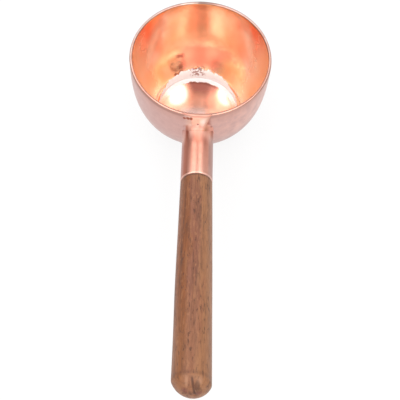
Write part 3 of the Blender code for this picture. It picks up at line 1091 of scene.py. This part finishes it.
def braze_depth(sizes, across, up, away, throat, tongue_top):
    """How far the filler stands off the bowl's side, away from the tube by that much."""
    x, y = across / MM, up / MM
    right = sizes.tongue_right + sizes.tongue_widening * (up - sizes.ferrule_radius)
    cover = smooth(across, right + RIGHT_FADE, right - RIGHT_FADE)
    cover *= smooth(across, -sizes.tongue_left - LEFT_FADE, -sizes.tongue_left + LEFT_FADE)
    cover *= smooth(up, *TONGUE_STARTS)
    layer = sizes.tongue_thickness * smooth(up - tongue_top, *TOP_FADE)
    layer = (layer + braze_lumps(x, y) * MM) * cover - BRAZE_EMBED * (1 - cover)
    burrs = BURR_RISE * MM * max(mound(x, y, burr) for burr in BURRS)
    room = max(throat - away, 0)
    return layer + burrs + throat - math.sqrt(throat ** 2 - room ** 2)


class SCOOP_OT_braze(bpy.types.Operator):
    """Make the braze fillet round the tube, with the tongue that climbs to the lip."""

    bl_idname = "scoop.braze"
    bl_label = "Make braze fillet"

    def execute(self, context):
        sizes, colours = context.scene.scoop_sizes, context.scene.scoop_colours
        side = bowl_side(sizes)
        bore = sizes.ferrule_radius - BRAZE_EMBED
        tongue_top = (sizes.joint_drop - sizes.tongue_below_lip) / math.cos(sizes.handle_rise)
        columns = []
        for i in range(BRAZE_SEGMENTS):
            turn = math.tau * i / BRAZE_SEGMENTS
            sine, cosine = math.sin(turn), math.cos(turn)
            grown = smooth(cosine, *THROAT_GROWS)
            throat = sizes.fillet_throat + (sizes.tongue_throat - sizes.fillet_throat) * grown
            reach = bore + throat + BRAZE_MARGIN / 4
            if cosine > 0:
                half = (sizes.tongue_right if sine > 0 else sizes.tongue_left) + BRAZE_MARGIN
                reach = max(reach, min(tongue_top / cosine, half / max(abs(sine), LEAST_SINE)))
            face = []
            for step in range(BRAZE_STEPS + 1):
                away = (reach - bore) * (1 - step / BRAZE_STEPS) ** 2
                across, up = (bore + away) * sine, (bore + away) * cosine
                depth = braze_depth(sizes, across, up, away, throat, tongue_top)
                face.append((across, up, side_distance(sizes, side, across, up) + depth))
            buried = side_distance(sizes, side, face[0][0], face[0][1]) - sizes.sheet / 2
            inner = (bore - BRAZE_EMBED) * sine, (bore - BRAZE_EMBED) * cosine
            columns.append([(*inner, buried), (face[0][0], face[0][1], buried), *face])
        rings = [list(ring) for ring in zip(*columns)]
        along_handle = handle_matrix(sizes)
        finish = braze_metal(colours, sizes, along_handle)
        fillet = skin("braze_saddle", rings, [finish], ring_closed=True)
        fillet.data.transform(along_handle)
        place(fillet, "braze_fillet")
        return {"FINISHED"}


def hand_sanding(radius, distance):
    """Slight unevenness of wood that was sanded by hand, always inwards."""
    def change(turn):
        round_axis = Vector((math.cos(turn), math.sin(turn), 0)) * SANDING_ROUND
        sample = round_axis + Vector((0, 0, distance / radius * SANDING_ALONG))
        return -SANDING * radius * (0.5 + 0.5 * noise.noise(sample))
    return change


def worked_end(sizes, point, end):
    """Narrows the handle's left side, slants its domed end and opens the drying check there."""
    x, y, distance = point
    if x < 0:
        x *= 1 - LEFT_NARROWING * smooth(distance, NARROWED_FROM, NARROWED_TO)
    share = min(max((distance - end + END_EASE) / END_EASE, 0), 1)
    distance += (sizes.dome_skew * x - END_LOSS) * share
    if point[2] > end:
        first, last = Vector(CHECK_START) * MM, Vector(CHECK_END) * MM
        down = (last - first).normalized()
        from_first = Vector((x, y)) - first
        travel = min(max(from_first.dot(down), 0), (last - first).length)
        distance -= sizes.check_depth * bell((from_first - down * travel).length, CHECK_WIDTH)
    return (x, y, distance)


class SCOOP_OT_handle(bpy.types.Operator):
    """Make the turned wooden handle with its rounded shoulder and domed end."""

    bl_idname = "scoop.handle"
    bl_label = "Make handle"

    def execute(self, context):
        sizes, colours = context.scene.scoop_sizes, context.scene.scoop_colours
        shoulder = sizes.ferrule_length + sizes.shoulder_gap
        radius = sizes.ferrule_radius
        rounding = sizes.shoulder_round
        tip = sizes.ferrule_length + sizes.wood_length
        dome_rim = tip - sizes.dome_height
        start = shoulder + rounding
        end = dome_rim - sizes.dome_edge / 2
        bore = radius - sizes.tube_wall
        profile = [(bore / 2, shoulder), (bore, shoulder), (radius - rounding, shoulder)]
        profile += arc((radius - rounding, start), rounding, -math.pi / 2, 0, SHOULDER_STEPS)
        for step in range(1, GRIP_STEPS + 1):
            t = step / GRIP_STEPS
            taper = radius + (sizes.grip_radius - radius) * t
            profile.append((taper + sizes.grip_belly * 4 * t * (1 - t), start + (end - start) * t))
        dome = (sizes.grip_radius ** 2 + sizes.dome_height ** 2) / (2 * sizes.dome_height)
        dome_centre = (0, tip - dome)
        rim_angle = math.atan2(dome_rim - dome_centre[1], sizes.grip_radius)
        eased_angle = rim_angle + sizes.dome_edge / 2 / dome
        corner = (sizes.grip_radius, dome_rim)
        eased = along(dome_centre, dome, eased_angle)
        profile += bezier(profile[-1], corner, corner, eased, DOME_EDGE_STEPS)
        profile += arc(dome_centre, dome, eased_angle, math.pi / 2, DOME_STEPS)[:-1]
        rings = [[(0, 0, shoulder)]]
        for reach, distance in profile:
            ring = turned_ring(reach, distance, GRIP_SEGMENTS, hand_sanding(reach, distance))
            rings.append([worked_end(sizes, point, end) for point in ring])
        rings.append([worked_end(sizes, (0, 0, tip), end)])
        along_handle = handle_matrix(sizes)
        grip = skin("handle_turned", rings, [lacquered_wood(colours, along_handle)])
        grip.data.transform(along_handle)
        place(grip, "handle")
        return {"FINISHED"}


class SCOOP_OT_bond(bpy.types.Operator):
    """Finish the sleeve of adhesive that holds the tenon, out of sight inside the ferrule."""

    bl_idname = "scoop.bond"
    bl_label = "Finish tenon bond"

    def execute(self, context):
        mesh = frame["nodes"]["tenon_bond"].data
        mesh.materials.clear()
        mesh.materials.append(hardened_adhesive(context.scene.scoop_colours))
        return {"FINISHED"}


# Stage

PHOTO_PIXELS = 400
FOCAL_PIXELS = 981.8
RIM_PIXEL = (200.64, 56.47)
VIEW_ELEVATION = math.radians(52.85)
VIEW_AZIMUTH = math.radians(-1.12)
VIEW_ROLL = math.radians(-3.11)
VIEW_DISTANCE = 321.2 * MM
SENSOR = 36.0
FLOOR_HALF = 4.0
FLOOR_DROP = 0.02 * MM
LIGHT_HEIGHT = 0.9
LIGHT_LENGTH = 2.6
LIGHT_GAP_ANGLE = math.radians(9)
LIGHT_EDGE_ANGLES = {"left": math.radians(46), "right": math.radians(36)}
LIGHT_RADIANCE = 1.5
ROOM_LEFT = 0.28
ROOM_RIGHT = 0.5
ROOM_AHEAD = 0.95
ROOM_ABOVE_FRONT = 1.3
ROOM_GAP_FRONT = 0.85
ROOM_ABOVE_BACK = 0.62
FLOOR_WHITE_SHARE = 0.85


def make_camera(scene, sizes):
    """The photograph's view: the lip's centre falls on its pixel, from its side and height."""
    target = Vector((0, 0, sizes.bowl_height))
    back = Vector((
        math.sin(VIEW_AZIMUTH) * math.cos(VIEW_ELEVATION),
        -math.cos(VIEW_AZIMUTH) * math.cos(VIEW_ELEVATION),
        math.sin(VIEW_ELEVATION),
    ))
    right = Vector((math.cos(VIEW_AZIMUTH), math.sin(VIEW_AZIMUTH), 0))
    aim = Matrix((right, back.cross(right), back)).transposed()
    middle = PHOTO_PIXELS / 2
    across, up = RIM_PIXEL[0] - middle, middle - RIM_PIXEL[1]
    turned = Matrix.Rotation(-VIEW_ROLL, 2) @ Vector((across, up))
    pitch = math.atan2(turned.y, FOCAL_PIXELS)
    yaw = math.atan2(turned.x, FOCAL_PIXELS)
    aim = aim @ Matrix.Rotation(-pitch, 3, "X") @ Matrix.Rotation(yaw, 3, "Y")
    aim = aim @ Matrix.Rotation(-VIEW_ROLL, 3, "Z")
    lens = bpy.data.cameras.new("photo_camera")
    lens.sensor_width = SENSOR
    lens.lens = SENSOR * FOCAL_PIXELS / PHOTO_PIXELS
    lens.clip_start = 0.01
    camera = bpy.data.objects.new("photo_camera", lens)
    camera.matrix_world = Matrix.Translation(target + back * VIEW_DISTANCE) @ aim.to_4x4()
    scene.collection.objects.link(camera)
    scene.camera = camera


def grey(level):
    return (level, level, level, 1)


def floor_finish():
    """A white floor that keeps a faint shadow, and looks white to the camera and in the metal."""
    made, graph, shader = new_material("stage_floor")
    shader.inputs["Base Color"].default_value = grey(0.9)
    shader.inputs["Roughness"].default_value = 0.9
    rays = graph.add("ShaderNodeLightPath").outputs
    seen = graph.most(rays["Is Camera Ray"], rays["Is Glossy Ray"], rays["Is Transmission Ray"])
    share = graph.times(seen, FLOOR_WHITE_SHARE)
    white = graph.add("ShaderNodeEmission", {"Color": grey(1), "Strength": 1.0})
    both = graph.add("ShaderNodeMixShader", {0: share, 1: shader.outputs[0], 2: white.outputs[0]})
    graph.feed(made.node_tree.nodes["Material Output"].inputs["Surface"], both.outputs[0])
    return made


def studio_room():
    """A room that is dim on the left, bright before and behind, and brightest overhead in front."""
    made = bpy.data.worlds.new("studio_room")
    made.use_nodes = True
    graph = Graph(made.node_tree)
    parts = graph.parts(graph.add("ShaderNodeTexCoord").outputs["Generated"])
    level = graph.mix(graph.step(parts["X"], -0.4, 0.4), grey(ROOM_LEFT), grey(ROOM_RIGHT))
    level = graph.layers(level, (grey(ROOM_AHEAD), graph.step(graph.away(parts["Y"]), 0.35, 0.95)))
    beside_gap = graph.step(graph.away(parts["X"]), 0.12, 0.2)
    front = graph.mix(beside_gap, grey(ROOM_GAP_FRONT), grey(ROOM_ABOVE_FRONT))
    overhead = graph.mix(graph.step(parts["Y"], 0.1, -0.1), grey(ROOM_ABOVE_BACK), front)
    level = graph.layers(level, (overhead, graph.step(parts["Z"], 0.3, 0.65)))
    graph.feed(made.node_tree.nodes["Background"].inputs["Color"], level)
    return made


class SCOOP_OT_stage(bpy.types.Operator):
    """Set the white floor, the two light banks, the room and the camera."""

    bl_idname = "scoop.stage"
    bl_label = "Set stage"

    def execute(self, context):
        scene = context.scene
        scene.view_settings.view_transform = "Standard"
        scene.world = studio_room()
        corners = [
            (x * FLOOR_HALF, y * FLOOR_HALF, -FLOOR_DROP) for x, y in ((-1, -1), (1, -1), (1, 1), (-1, 1))]
        mesh = bpy.data.meshes.new("stage_floor")
        mesh.from_pydata(corners, [], [(0, 1, 2, 3)])
        mesh.materials.append(floor_finish())
        floor = bpy.data.objects.new("stage_floor", mesh)
        scene.collection.objects.link(floor)
        near = LIGHT_HEIGHT * math.tan(LIGHT_GAP_ANGLE)
        for name, side in (("left", -1), ("right", 1)):
            far = LIGHT_HEIGHT * math.tan(LIGHT_EDGE_ANGLES[name])
            lamp = bpy.data.lights.new("light_bank_" + name, "AREA")
            lamp.shape = "RECTANGLE"
            lamp.size = far - near
            lamp.size_y = LIGHT_LENGTH
            lamp.energy = LIGHT_RADIANCE * math.pi * lamp.size * lamp.size_y
            bank = bpy.data.objects.new("light_bank_" + name, lamp)
            bank.location = (side * (near + far) / 2, 0, LIGHT_HEIGHT)
            bank.visible_camera = False
            scene.collection.objects.link(bank)
        make_camera(scene, scene.scoop_sizes)
        return {"FINISHED"}


class SCOOP_PT_build(bpy.types.Panel):
    """Lists the scoop's pieces in the sidebar."""

    bl_idname = "SCOOP_PT_build"
    bl_label = "Copper Coffee Scoop"
    bl_space_type = "VIEW_3D"
    bl_region_type = "UI"
    bl_category = "Scoop"

    def draw(self, context):
        for operator in OPERATORS:
            self.layout.operator(operator.bl_idname)
        for group in (context.scene.scoop_sizes, context.scene.scoop_colours):
            column = self.layout.column()
            for setting in group.__annotations__:
                column.prop(group, setting)


OPERATORS = (
    SCOOP_OT_stage, SCOOP_OT_bowl, SCOOP_OT_ferrule, SCOOP_OT_braze, SCOOP_OT_handle, SCOOP_OT_bond,
)
CLASSES = (ScoopSizes, ScoopColours, *OPERATORS, SCOOP_PT_build)


def register():
    for made in CLASSES:
        bpy.utils.register_class(made)
    bpy.types.Scene.scoop_sizes = PointerProperty(type=ScoopSizes)
    bpy.types.Scene.scoop_colours = PointerProperty(type=ScoopColours)


def unregister():
    del bpy.types.Scene.scoop_colours
    del bpy.types.Scene.scoop_sizes
    for made in reversed(CLASSES):
        bpy.utils.unregister_class(made)


def main():
    register()
    bpy.ops.scoop.stage()
    bpy.ops.scoop.bowl()
    bpy.ops.scoop.ferrule()
    bpy.ops.scoop.braze()
    bpy.ops.scoop.handle()
    bpy.ops.scoop.bond()


if __name__ == "__main__":
    main()
